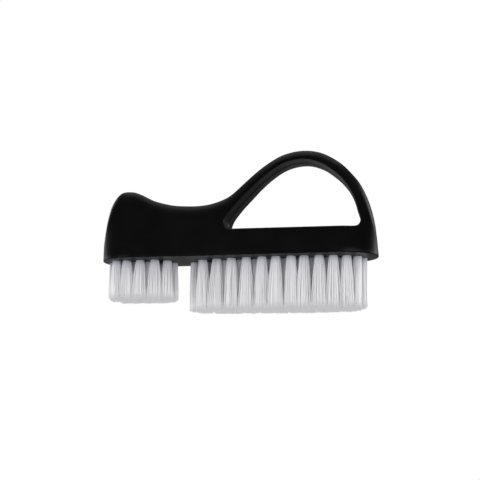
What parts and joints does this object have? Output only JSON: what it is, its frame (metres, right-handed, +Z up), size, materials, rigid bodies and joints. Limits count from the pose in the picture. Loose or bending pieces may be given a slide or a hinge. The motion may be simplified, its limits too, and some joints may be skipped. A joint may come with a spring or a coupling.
{
  "type": "nail brush",
  "caption": "Moulded hand and nail brush with a nose hump, a thumb saddle, a closed finger loop, and short nose and long main bristle tufts.",
  "frame": {"origin": "under the middle of the brush, on the plane of the trimmed main bristle tips", "axes": "+X along the brush from the nose to the loop, +Y across it, +Z up, away from the bristles"},
  "size_m": [0.0956, 0.0246, 0.0546],
  "materials": {
    "body": "black, satin moulded",
    "bristle": "clear white nylon, satin",
    "anchor_wire": "flat drawn wire"
  },
  "bodies": {
    "root": {"body": "body", "nose_anchors": "anchor_wire", "main_anchors": "anchor_wire", "nose_tufts_1": "bristle", "nose_tufts_2": "bristle", "nose_tufts_3": "bristle", "nose_tufts_4": "bristle", "nose_tufts_5": "bristle", "nose_tufts_6": "bristle", "nose_tufts_7": "bristle", "main_tufts_1": "bristle", "main_tufts_2": "bristle", "main_tufts_3": "bristle", "main_tufts_4": "bristle", "main_tufts_5": "bristle", "main_tufts_6": "bristle", "main_tufts_7": "bristle", "main_tufts_8": "bristle", "main_tufts_9": "bristle", "main_tufts_10": "bristle", "main_tufts_11": "bristle", "main_tufts_12": "bristle", "main_tufts_13": "bristle", "main_tufts_14": "bristle", "main_tufts_15": "bristle", "main_tufts_16": "bristle", "main_tufts_17": "bristle", "main_tufts_18": "bristle", "main_tufts_19": "bristle", "main_tufts_20": "bristle", "main_tufts_21": "bristle", "main_tufts_22": "bristle"}
  },
  "joints": []
}
